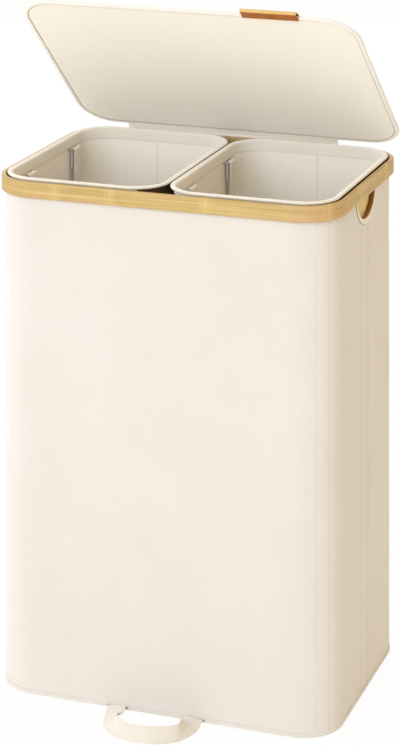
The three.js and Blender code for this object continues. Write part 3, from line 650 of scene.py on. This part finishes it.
def bamboo_finish():
    cane = Finish("bamboo", Coat_Weight=0.04, Coat_Roughness=0.4, Specular_IOR_Level=0.12)
    where = cane.cloth_places()
    along, around = cane.apart(where)
    fibre = cane.noise(cane.stretch(where, 14, 2600), 1.0, 3.0)
    streak = cane.noise(cane.stretch(where, 4, 380), 1.0, 2.0)
    cloud = cane.noise(cane.stretch(where, 22, 60), 1.0, 2.0)
    patch = cane.noise(cane.stretch(where, 7, 20), 1.0, 1.0)
    pores = cane.clamp(cane.noise(cane.stretch(where, 120, 3800), 1.0, 1.0), 0.62, 0.72)
    colour = cane.mix(cane.clamp(patch, 0.4, 0.62), BAMBOO_LIGHT, BAMBOO_ROSY)
    tone = fibre * 0.3 + streak * 0.55 + cloud * 0.15
    colour = cane.mix(cane.clamp(tone, 0.4, 0.66), colour, BAMBOO_DARK)
    wobble = (cloud - 0.5) * 0.0012
    layers = None
    for place in LAYER_LINES:
        layer = cane.line(around + wobble, place * MM, 0.7 * MM)
        layers = layer if layers is None else layers.math("MAXIMUM", layer)
    colour = cane.mix(layers * cane.clamp(streak, 0.3, 0.6, 0.1, 0.4), colour, BAMBOO_BROWN)
    nodes = None
    halos = None
    for number, place in enumerate(NODE_PLACES):
        slip = along + (cloud - 0.5) * 0.002 + (number % 3 - 1) * 0.0004
        node = cane.line(slip, place * MM, (1.6 + number % 2 * 0.6) * MM)
        halo = cane.line(slip, (place + 3) * MM, 22 * MM)
        nodes = node if nodes is None else nodes.math("MAXIMUM", node)
        halos = halo if halos is None else halos.math("MAXIMUM", halo)
    colour = cane.mix(halos * 0.45, colour, BAMBOO_PALE)
    colour = cane.mix(nodes * 0.3, colour, BAMBOO_BROWN)
    colour = cane.mix(pores * 0.3, colour, BAMBOO_BROWN)
    roughness = cane.clamp(fibre, 0.3, 0.7, 0.38, 0.52)
    height = fibre * 0.5 + nodes * 0.8 - pores * 0.5 - layers * 0.4
    return cane.finish(colour, height, 0.00015, roughness)


bamboo = bamboo_finish()
inner, outer, low, high = HOOP
hoop_section = []
for centre_out, centre_up, start in (
    (outer - HOOP_EASE, low + HOOP_EASE, -90), (outer - HOOP_EASE, high - HOOP_EASE, 0),
    (inner + HOOP_EASE, high - HOOP_EASE, 90), (inner + HOOP_EASE, low + HOOP_EASE, 180),
):
    hoop_section += oval_arc((centre_out, centre_up), HOOP_EASE, HOOP_EASE, start, start + 90, 6)
hoop_way = way_round(*BODY, steps=24)
make(
    "bamboo_hoop_strip", [skin(wrap(hoop_way, hoop_section), ring=True, along=hoop_way[2])], bamboo,
    "hamper", ["bamboo_hoop"], sharp=60,
)

# Hand holes. Each is a half oval under the hoop, with a patch of the cover's canvas sewn round it
# and a tape folded over its cut edge; its inner leg is painted brown as shade inside the hole.
tape_cloth = canvas("edge_tape", paint(246, 241, 235), paint(239, 232, 223), 0.6 * MM)
# A darker taupe cloth for thin lines of painted shade along tape edges.
edge_shade_cloth = canvas("painted_edge_shade", paint(186, 168, 142), paint(172, 152, 124), 0.6 * MM)
hole_shade_brown = canvas("painted_hole_shade", paint(166, 116, 52), paint(146, 96, 40), 0.7 * MM)
PATCH_OVAL = (63, 44)
HOLE_PATCH = ((0, 234.0), (0, 234.5), (0.5, 234.5), (0.93, 234.4), (1, 234.15), (1, 234.0))
HOLE_TAPE = (
    (3.5, 228.4), (3.5, 229.0), (0.6, 229.4), (-0.1, 230.2), (-0.25, 232.5), (-0.1, 234.6),
    (0.6, 235.0), (5.9, 234.8), (6.4, 235.0), (5.7, 235.5), (1.0, 235.7), (-0.6, 235.3),
    (-0.95, 234.2), (-1.0, 231.5), (-0.8, 229.2), (0.2, 228.3),
)
for word, side in (("right", 1), ("left", -1)):
    rim = half_oval(HOLE_HALF, HOLE_DROP)
    patch_rim = half_oval(*PATCH_OVAL)
    rows = []
    for inside, outside in zip(rim, patch_rim):
        row = []
        for share, height in HOLE_PATCH:
            y, z = inside + (outside - inside) * share
            row.append((side * height, y, z))
        rows.append(row)
    make(
        word + "_hand_hole_patch_cloth", [skin(rows)], plain_canvas,
        "hamper", [word + "_hand_hole_patch"],
    )
    tape_rows = []
    middle = np.gradient(rim, axis=0)
    for (y, z), (dy, dz) in zip(rim, middle):
        away = np.array([dz, -dy]) / math.hypot(dy, dz)
        row = []
        for reach, height in HOLE_TAPE:
            row.append((side * height, y + away[0] * reach, z + away[1] * reach))
        tape_rows.append(row)
    hole_tape = make(
        word + "_hand_hole_tape_cloth", [skin(tape_rows)], tape_cloth,
        "hamper", [word + "_hand_hole_tape"],
    )
    # The tape's inner leg, inside the hole, is painted brown as painted shade.
    second_finish(hole_tape, hole_shade_brown, lambda number: number % len(HOLE_TAPE) > 11)
    # A thin painted shade line along the tape's outer lip.
    second_finish(hole_tape, edge_shade_cloth, lambda number: number % len(HOLE_TAPE) in (7, 8))

# Bins. Each is a tub of thin cream cloth, its back seamed down the middle, with a wire in the rim
# and a hem folded over the wire and stitched down inside. A covered board lies on its floor.
BIN = (220, 312, 43)  # width, depth and corner
BIN_MIDDLE = 117
BIN_SEAM = {"left": -4, "right": 3}
BIN_FLOOR = 6.9
BIN_RIM = 667
BIN_LEAN = 5  # how far the walls lean in from rim to floor
BIN_CLOTH = 1.8
BIN_BOARD = ((-40, 8.4), (-8.2, 8.5), (-7.6, 9), (-7.6, 10.8), (-8.2, 11.4), (-40, 11.4))
LINER = paint(254, 249, 240)
LINER_SHADE = paint(246, 238, 225)
HEM_BEAD = (2.6, 681.05)  # middle of its roll over the wire, out and up
HEM_LEG = range(12, 18)  # its outer leg, painted brown as shade on the right-facing walls
HEM_STITCHES = (-2.75, 669)  # out and up
bin_backing = canvas("bin_backing", paint(252, 230, 166), paint(240, 212, 144), 0.9 * MM)
hem_cloth = canvas("hem_cloth", paint(247, 241, 230), paint(240, 232, 218), 0.6 * MM)

wall_up = [15, 60, 120, 180, 240, 300, 360, 420, 480, 540, 590, 625, 655]
lean = [BIN_LEAN - BIN_LEAN * (z - BIN_FLOOR) / (BIN_RIM - BIN_FLOOR) for z in wall_up]
outside = [(-60, BIN_FLOOR), (-12, BIN_FLOOR), (-7, 7.4), (-5.2, 9.5)]
outside += [(-r, z) for r, z in zip(lean, wall_up)]
bin_top = [(0, BIN_RIM), (0, 680.6), (-0.4, 681), (-1.4, 681), (-BIN_CLOTH, 680.6), (-BIN_CLOTH, BIN_RIM)]
inside = [(-r - BIN_CLOTH, z) for r, z in zip(lean[::-1], wall_up[::-1])]
inside += [(-7.2, 10.5), (-9, 8.3), (-60, 8.1)]
hem_section = [(-2.1, BIN_RIM), (-2.1, 680.5), (-1.95, 681.2), (-1.1, 681.85), (-0.2, 682.35)]
hem_section += oval_arc(HEM_BEAD, 2.6, 1.85, 110, -75, 7)
hem_section += [(0.4, 679.6), (0.35, 673.4), (0.7, 673.2), (0.8, 674), (0.9, 677.9), (1.4, 678.6)]
hem_section += oval_arc(HEM_BEAD, 2.85, 2.1, -95, 110, 10)
hem_section += [(-0.2, 682.75), (-1.2, 682.3), (-2.15, 681.6), (-2.5, 680.6)]
hem_section += [(-2.65, 676), (-2.75, 670), (-2.75, 667.6)]


def bin_fade(base):
    """Cloth lies flat by the floor and the rim."""
    return np.clip((base[..., 2] - 15) / 60, 0, 1) * np.clip((664 - base[..., 2]) / 90, 0, 1)


for word, side in (("left", -1), ("right", 1)):
    seam_place = BIN[0] + BIN[1] - 4 * BIN[2] + math.pi * BIN[2] - BIN_SEAM[word]
    bin_way = way_round(*BIN, x=side * BIN_MIDDLE, extra=[seam_place + d for d in (-1.2, 0, 1.2)])
    # Its back seam is darkened with painted shade.
    bin_cloth = canvas(word + "_bin_cloth", LINER, LINER_SHADE, CANVAS_PITCH, [(1, seam_place, 1.3, 1.0)])
    tub = wrap(bin_way, outside + bin_top + inside, 0.6, 85, 11 + side, bin_fade)
    liner = make(
        word + "_bin_liner_cloth", [skin(np.swapaxes(tub, 0, 1), around=bin_way[2])], bin_cloth,
        "hamper", [word + "_bin_liner"],
    )
    backed = (len(outside) - 1) * len(bin_way[0])
    shade_end = (len(outside) + 1) * len(bin_way[0])
    second_finish(liner, bin_backing, lambda number: number < backed)
    # Each bin's outer face just under its rim, in the crevice by the hoop, is painted dark brown: painted
    # shade.
    second_finish(liner, crevice_shade_brown, lambda number: backed <= number < shade_end)
    make(
        word + "_bin_floor_cover", [skin(levels(bin_way, BIN_BOARD), flat=True)], lining_cloth,
        "hamper", [word + "_bin_base_board"],
    )
    hem = make(
        word + "_bin_hem_cloth", [skin(wrap(bin_way, hem_section, 0.08, 40, 31 + side), ring=True)],
        hem_cloth, "hamper", [word + "_bin_hem"],
    )
    outs = bin_way[1]
    # Painted shade on the hem's outer leg where it faces right into the crevice by the hoop.
    second_finish(
        hem, crevice_shade_brown,
        lambda number: number % len(hem_section) in HEM_LEG and outs[number // len(hem_section)][0] >= 0.3,
    )
    hem_stitches = stitches_round(bin_way, *HEM_STITCHES, outward=-1)
    make(word + "_bin_hem_stitching", [hem_stitches], thread, "hamper")


# Carry straps. Each hangs on two wire loops on a side wall of its bin: cream webbing that runs
# down, across and up again, with both ends folded over a loop's bar and stitched.
WEBBING = (24, 1.6)  # width and thickness
STRAP_APART = 160
STRAP_MIDDLE = 4
STRAP_DROP = 88
STRAP_CORNER = 20  # along the middle of the webbing
STRAP_END = 24
STRAP_OFF_BAR = 1.5  # from the bar's axis
STRAP_BOX = ((-9, -8), (9, -8), (9, -21), (-9, -21))  # of stitches, round the end of a loop
BAR_HEIGHT = 665.3
BAR_STAND_OFF = 7.2
WIRE_LOOP = (31, 0.8)  # width over its legs, radius of its wire
WIRE_BEND = 1.6


def webbing_finish():
    woven = Finish(
        "webbing", Roughness=0.82, Diffuse_Roughness=1.0, Sheen_Weight=0.1, Specular_IOR_Level=0.3,
    )
    where = woven.cloth_places()
    along, across = woven.apart(where)
    rib = (along * (math.pi / (1.6 * MM))).math("SINE")
    cross = (across * (math.pi / (1.1 * MM))).math("SINE")
    weave = (rib * cross).math("ABSOLUTE")
    slub = woven.noise(woven.stretch(where, 40, 900), 1.0, 2.0)
    cloud = woven.noise(woven.object_places(), 30.0, 2.0)
    tone = woven.clamp(slub * 0.5 + cloud * 0.5, 0.3, 0.75)
    colour = woven.mix(tone, paint(247, 244, 240), paint(239, 233, 225))
    colour = woven.mix(weave * 0.5 + 0.5, paint(226, 214, 194), colour)
    return woven.finish(colour, weave + slub * 0.3, 0.0003)


webbing = webbing_finish()


def band(frames, width, thickness):
    """A flat band along frames of (middle, across, out), its two edges rounded."""
    half = thickness / 2
    shape = oval_arc((width / 2 - half, 0), half, half, -90, 90, 5)
    shape += [(x * width / 4, half) for x in (1, 0, -1)]
    shape += oval_arc((half - width / 2, 0), half, half, 90, 270, 5)
    shape += [(x * width / 4, -half) for x in (-1, 0, 1)]
    rows = []
    for middle, across, out in frames:
        rows.append([np.array(middle) + np.array(across) * a + np.array(out) * o for a, o in shape])
    return skin(rows)


def strap_frames():
    """From the folded-back end over the first bar, down, across, up and over the second bar, with
    x along the wall, y up and z into the bin, from the axis of the bars."""
    mid = STRAP_OFF_BAR + WEBBING[1] / 2
    far = STRAP_APART / 2
    bottom = WEBBING[0] / 2 - STRAP_DROP
    right, up, into = np.eye(3)
    half = [((-far, y, -mid), right, -into) for y in np.linspace(-STRAP_END, 0, 7)[:-1]]
    for turn in np.radians(np.linspace(180, 0, 9)):
        out = up * math.sin(turn) + into * math.cos(turn)
        half.append((out * mid - right * far, right, out))
    half += [((-far, y, mid), right, into) for y in np.linspace(-4, bottom + STRAP_CORNER, 9)]
    for turn in np.radians(np.linspace(0, 90, 9)[1:]):
        across = right * math.cos(turn) + up * math.sin(turn)
        x = STRAP_CORNER * (1 - math.cos(turn)) - far
        y = STRAP_CORNER * (1 - math.sin(turn)) + bottom
        half.append(((x, y, mid), across, into))
    for x in np.linspace(STRAP_CORNER - far, 0, 7)[1:]:
        bow = 0.8 * math.cos(x / (far - STRAP_CORNER) * math.pi / 2)
        half.append(((x, bottom, mid + bow), up, into))
    mirror = np.array((-1, 1, 1))
    other = [(np.multiply(middle, mirror), across * mirror, out) for middle, across, out in half[-2::-1]]
    return half + other


def wall_frame(bin_side, wall_side):
    """Places a strap or wire loop on one side wall of one bin."""
    into = -wall_side
    x = bin_side * BIN_MIDDLE + wall_side * (BIN[0] / 2 - BIN_CLOTH - BAR_STAND_OFF)
    columns = Matrix(((0, 0, into), (into, 0, 0), (0, 1, 0)))
    return Matrix.Translation((x, STRAP_MIDDLE, BAR_HEIGHT)) @ columns.to_4x4()


def wire_loop_line():
    """One leg out from the wall, the bar and the other leg back, as (along the wall, out of it)."""
    half = WIRE_LOOP[0] / 2 - WIRE_LOOP[1]
    wall = 0.3 - BAR_STAND_OFF
    line = [(-half, wall), (-half, wall / 2), (-half, -WIRE_BEND)]
    for turn in np.radians([22, 45, 68, 90]):
        line.append((-half + WIRE_BEND * (1 - math.cos(turn)), -WIRE_BEND * (1 - math.sin(turn))))
    line.append((0, 0))
    return np.array(line + [(-x, z) for x, z in line[-2::-1]])


def wire(line, radius, sides=10):
    """A round wire along a flat line of (x, z) points."""
    ahead = np.gradient(line, axis=0)
    ahead /= np.linalg.norm(ahead, axis=1)[:, None]
    turns = np.arange(sides) * 2 * math.pi / sides
    rows = []
    for (x, z), (dx, dz) in zip(line, ahead):
        wide, tall = radius * np.cos(turns), radius * np.sin(turns)
        rows.append(np.stack([x + dz * wide, tall, z - dx * wide], 1))
    return skin(rows)


def steel_finish():
    metal = Finish("steel_wire", Metallic=1.0, Specular_IOR_Level=0.5)
    scratch = metal.noise(metal.object_places(), 900.0, 2.0)
    colour = metal.mix(scratch, paint(205, 203, 198), paint(176, 173, 166))
    return metal.finish(colour, scratch, 0.00005, metal.clamp(scratch, 0.3, 0.7, 0.28, 0.42))


steel = steel_finish()
strap_line = strap_frames()
for word, side in (("left", -1), ("right", 1)):
    for wall_word, wall_side in (("left", -1), ("right", 1)):
        name = f"{word}_bin_{wall_word}_strap"
        body = f"{word}_bin_{wall_word}_carry_strap"
        put = wall_frame(side, wall_side)
        make(name + "_webbing", [band(strap_line, *WEBBING)], webbing, body, [name], place=put)
        face = STRAP_OFF_BAR + WEBBING[1] + 0.02
        boxes = []
        for x in (-STRAP_APART / 2, STRAP_APART / 2):
            box = [(x + along, up, face) for along, up in STRAP_BOX]
            boxes.append(stitches(box, (0, 0, 1), closed=True, length=2.2))
        make(name + "_stitching", boxes, thread, body, place=put)
        for end_word, end in (("front", wall_side), ("rear", -wall_side)):
            loop_put = put @ Matrix.Translation((end * STRAP_APART / 2, 0, 0))
            make(
                f"{name}_wire_loop_{end_word}", [wire(wire_loop_line(), WIRE_LOOP[1])], steel,
                "hamper", [f"{name}_loop_{end_word}"], place=loop_put,
            )

# Pull loop. A band of the same webbing, its two legs held in slots through the foot's tape and
# the cover. It leaves them flat, comes forward over the floor and turns across on its edge.
LOOP = (25, 1.8)  # width and thickness
LOOP_LINE = (
    (-69, -166.4), (-63, -192), (-54, -218), (-36, -237), (-6, -244), (30, -239),
    (53, -221), (64, -194), (63, -166.4),
)
LOOP_LEAN = (4, 100)  # degrees, at the foot and at the front
LOOP_TWIST = (0.44, 0.27)  # share of its length in which it turns, from the left and the right
LOOP_RISE = (1.9, 0.4)  # height of its lower edge, at the foot and at the front
LOOP_STITCH = 2.6  # from its edges


def curve_through(points, per_span=24):
    """A smooth line through points, bending less where they lie close together."""
    points = np.array(points, float)
    points = np.vstack([2 * points[0] - points[1], points, 2 * points[-1] - points[-2]])
    line = []
    for p0, p1, p2, p3 in zip(points, points[1:], points[2:], points[3:]):
        t0, t1 = 0, math.sqrt(np.linalg.norm(p1 - p0))
        t2 = t1 + math.sqrt(np.linalg.norm(p2 - p1))
        t3 = t2 + math.sqrt(np.linalg.norm(p3 - p2))
        for t in np.linspace(t1, t2, per_span, endpoint=False):
            a1 = (t1 - t) / (t1 - t0) * p0 + (t - t0) / (t1 - t0) * p1
            a2 = (t2 - t) / (t2 - t1) * p1 + (t - t1) / (t2 - t1) * p2
            a3 = (t3 - t) / (t3 - t2) * p2 + (t - t2) / (t3 - t2) * p3
            b1 = (t2 - t) / (t2 - t0) * a1 + (t - t0) / (t2 - t0) * a2
            b2 = (t3 - t) / (t3 - t1) * a2 + (t - t1) / (t3 - t1) * a3
            line.append((t2 - t) / (t2 - t1) * b1 + (t - t1) / (t2 - t1) * b2)
    line.append(points[-2])
    return np.array(line)


def loop_frames(steps=72):
    """The band's middle from its left leg to its right one, with its lean and twist."""
    line = curve_through(LOOP_LINE)
    reach = np.concatenate([[0], np.cumsum(np.linalg.norm(np.diff(line, axis=0), axis=1))])
    reach /= reach[-1]
    share = np.linspace(0, 1, steps + 1)
    spots = np.stack([np.interp(share, reach, line[:, i]) for i in range(2)], 1)
    ahead = np.gradient(spots, axis=0)
    ahead /= np.linalg.norm(ahead, axis=1)[:, None]
    ahead[0], ahead[-1] = (0, -1), (0, 1)
    frames = []
    for along, (x, y), (dx, dy) in zip(share, spots, ahead):
        turned = min(1, along / LOOP_TWIST[0], (1 - along) / LOOP_TWIST[1])
        rise = 1 - math.cos(turned * math.pi / 2)
        lean = math.radians(LOOP_LEAN[0] + (LOOP_LEAN[1] - LOOP_LEAN[0]) * rise)
        inward, up = np.array((-dy, dx, 0)), np.array((0, 0, 1))
        across = inward * math.cos(lean) + up * math.sin(lean)
        out = -inward * math.sin(lean) + up * math.cos(lean)
        height = LOOP_RISE[0] + (LOOP_RISE[1] - LOOP_RISE[0]) * min(1, turned * 2)
        middle = np.array((x, y, height)) + across * LOOP[0] / 2 + out * LOOP[1] / 2
        frames.append((middle, across, out))
    return frames


loop_line = loop_frames()
make("pull_loop_webbing", [band(loop_line, *LOOP)], webbing, "pull_loop", ["front_pull_loop"])
edge_rows = []
for edge in (-1, 1):
    row = [m + a * edge * (LOOP[0] / 2 - LOOP_STITCH) + o * LOOP[1] / 2 for m, a, o in loop_line]
    edge_rows.append(stitches(row, [o for _, _, o in loop_line]))
make("pull_loop_stitching", edge_rows, thread, "pull_loop")

# Lid. A stiff board with canvas drawn over both faces and a folded tape sewn round its edge. It
# is drawn closed, from its hinge line, and then swung open.
LID = (481, 338.5, 50)  # width, depth and corner
LID_MIDDLE = -172.75
LID_OPEN = 40
LID_STITCH = 4.9  # from the edge
HINGE = (3, 171.8, 684)
lid_place = Matrix.Translation(HINGE) @ Matrix.Rotation(-math.radians(LID_OPEN), 4, "X")
lid_way = way_round(*LID, y=LID_MIDDLE, steps=18)
# The underside's canvas is painted paler than the top's, as painted light on the shaded underside.
underside_lit_canvas = canvas("lid_underside_canvas", paint(248, 242, 231), paint(242, 234, 220), CANVAS_PITCH)
crown = [(-8, 0.1), (-16, 0.25), (-30, 0.4), (-44, 0.45)]
under = [(-44, 1.5), (-6.6, 1.5), (-1.2, 1.45), (-0.9, 1.6), (-0.9, 1.8), (-1.2, 1.95), (-44, 1.95)]
make(
    "lid_underside_canvas", [skin(levels(lid_way, under), flat=True)], underside_lit_canvas,
    "lid", ["lid_underside_cover"], place=lid_place,
)
over = [(-44, 3.75), (-1.2, 3.75), (-0.9, 3.85), (-0.9, 4), (-1.2, 4.15), (-6.4, 4.2)]
over += [(out, 4.25 + rise) for out, rise in crown]
make(
    "lid_top_canvas", [skin(levels(lid_way, over), flat=True)], plain_canvas,
    "lid", ["lid_top_cover"], place=lid_place,
)
lid_tape_section = [(-6.7, 1.2), (-6.3, 0.95), (-5.8, 0.82), (-4, 0.78)]
lid_tape_section += oval_arc((-1.8, 2.9), 1.8, 2.1, -90, 90, 13)
lid_tape_section += [(-4, 5.05), (-5.8, 5.0), (-6.3, 4.8), (-6.2, 4.5)]
lid_tape_section += [(-0.7, 4.4), (-0.6, 2.9), (-0.7, 1.4), (-6.6, 1.3)]
lid_tape = make(
    "lid_edge_tape_cloth", [skin(wrap(lid_way, lid_tape_section, 0.08, 45, 7), ring=True)], tape_cloth,
    "lid", ["lid_edge_tape"], place=lid_place,
)
# A thin painted shade line along the tape's inner edge under the lid.
second_finish(lid_tape, edge_shade_cloth, lambda number: (number + 1) % len(lid_tape_section) < 3)
lid_rows = [stitches_round(lid_way, -LID_STITCH, z, upward=way) for z, way in ((0.79, -1), (5.02, 1))]
make("lid_tape_stitching", lid_rows, thread, "lid", place=lid_place)

# Pull tab. A strip of tan leather wrapped round the lid's front edge: its upper ply is sewn down
# on the lid, it folds over in front, and its lower ply lies under the lid.
TAB = (78, 1.3)  # width and thickness
TAB_X = 125.8
TAB_TOP = 5.8
TAB_FOLD = (-352.1, 1.6)
TAB_FOLD_RADIUS = 1.75
TAB_STITCHES = (19, 5)  # behind the lid's front edge
TAB_TAN = paint(192, 120, 54)
TAB_BROWN = paint(174, 100, 40)
TAB_HIGHLIGHT = paint(240, 200, 124)  # painted highlight along the lit front of its fold
TAB_HIGHLIGHT_PLACE = 34.6
LID_FRONT = -342


def leather_finish():
    hide = Finish("tan_leather", Specular_IOR_Level=0.4)
    where = hide.object_places()
    cells = {"Vector": where, "Scale": 900.0}
    grain = hide.node("ShaderNodeTexVoronoi", {"feature": "DISTANCE_TO_EDGE"}, cells)
    cloud = hide.noise(where, 60.0, 3.0)
    fine = hide.noise(where, 1400.0, 2.0)
    pebble = hide.clamp(grain, 0.0, 0.25)
    colour = hide.mix(hide.clamp(cloud, 0.3, 0.7), TAB_TAN, TAB_BROWN)
    along, _ = hide.apart(hide.cloth_places())
    # A painted highlight: a pale gold band along the lit front of the fold.
    fold_highlight = hide.line(along, TAB_HIGHLIGHT_PLACE * MM, 9 * MM)
    colour = hide.mix(hide.clamp(fold_highlight, 0.1, 0.2), colour, TAB_HIGHLIGHT)
    colour = hide.mix((1 - pebble) * 0.3, colour, paint(132, 80, 36))
    return hide.finish(colour, pebble + fine * 0.3, 0.00012, hide.clamp(cloud, 0.3, 0.7, 0.42, 0.56))


leather = leather_finish()
right = np.array((1, 0, 0))
profile = [(y, TAB_TOP) for y in np.linspace(LID_FRONT + 22, LID_FRONT, 6)]
profile += [(LID_FRONT - 1.8, 5.65), (LID_FRONT - 4.5, 4.9), (LID_FRONT - 7.5, 3.9)]
profile += oval_arc(TAB_FOLD, TAB_FOLD_RADIUS, TAB_FOLD_RADIUS, 75, 270, 9)
under_lid = TAB_FOLD[1] - TAB_FOLD_RADIUS
profile = np.array(profile + [(y, under_lid) for y in np.linspace(TAB_FOLD[0], LID_FRONT + 5, 5)[1:]])
ahead = np.gradient(profile, axis=0)
ahead /= np.linalg.norm(ahead, axis=1)[:, None]
tab_line = [((TAB_X, y, z), right, (0, dz, -dy)) for (y, z), (dy, dz) in zip(profile, ahead)]
make(
    "pull_tab_leather", [band(tab_line, *TAB)], leather, "lid", ["lid_pull_tab"], place=lid_place,
)
tab_across = np.linspace(TAB_X - 36, TAB_X + 36, 20)
tab_face = TAB_TOP + TAB[1] / 2 + 0.02
tab_rows = [[(x, LID_FRONT + back, tab_face) for x in tab_across] for back in TAB_STITCHES]
make(
    "pull_tab_stitching", [stitches(row, (0, 0, 1)) for row in tab_rows], thread,
    "lid", place=lid_place,
)

# Hinge. One strip of tape cloth carries the lid: screwed to the back of the hoop, bent forward at
# the hinge line and sewn under the lid's rear edge. It is drawn bent as it lies with the lid open.
STRIP = (317, 0.8)  # width and thickness
STRIP_X = -13
STRIP_UP = (660.5, 683.3)
STRIP_BEND = 1.2
strip_cloth = canvas("hinge_strip", paint(250, 243, 230), paint(245, 237, 223), 0.6 * MM)
open_turn = math.radians(LID_OPEN)
along_lid = np.array((0, -math.cos(open_turn), math.sin(open_turn)))
off_lid = np.array((0, math.sin(open_turn), math.cos(open_turn)))
strip_line = [((STRIP_X, HINGE[1], z), right, (0, 1, 0)) for z in np.linspace(*STRIP_UP, 10)]
for turn in np.linspace(0, math.pi / 2 - open_turn, 7)[1:]:
    y = HINGE[1] - STRIP_BEND * (1 - math.cos(turn))
    z = STRIP_UP[1] + STRIP_BEND * math.sin(turn)
    strip_line.append(((STRIP_X, y, z), right, (0, math.cos(turn), math.sin(turn))))
last = np.array(strip_line[-1][0])
for step, rise in ((1.2, 0), (2.4, 0.1), (3.4, 0.6), (4.4, 1.1), (6, 1.2)):
    strip_line.append((last + along_lid * step + off_lid * rise, right, off_lid))
hinge = make("hinge_strip_cloth", [band(strip_line, *STRIP)], strip_cloth, None)
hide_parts("body_hinge_strip", "lid_hinge_strip")
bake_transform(hinge)

# Screws and rim wires. Pan-head steel screws: four hold the hinge strip to the hoop, and eight
# more hold the hoop from inside the wall. A round steel wire keeps each bin's mouth open.
SCREW_ROWS = ("hinge_screw", "hoop_screw_front", "hoop_screw_rear")


def finish_solids(names, finish):
    """Gives solids of the frame, kept as they are, their finish."""
    for name in names:
        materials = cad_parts[name].data.materials
        materials.clear()
        materials.append(finish.material)


screws = [f"{row}_{number}" for row in SCREW_ROWS for number in range(1, 5)]
finish_solids(screws + ["left_bin_rim_wire", "right_bin_rim_wire"], steel)

# Boards. Grey-brown pasteboard stiffens the walls, the bottom and the lid, hidden by the cloth.
board = Finish("pasteboard", Roughness=0.9)
fibres = board.noise(board.object_places(), 260.0, 3.0)
board.finish(board.mix(fibres, paint(196, 176, 142), paint(176, 154, 120)), fibres, 0.0001)
finish_solids(("front_wall_board", "rear_wall_board", "base_board", "lid_board"), board)
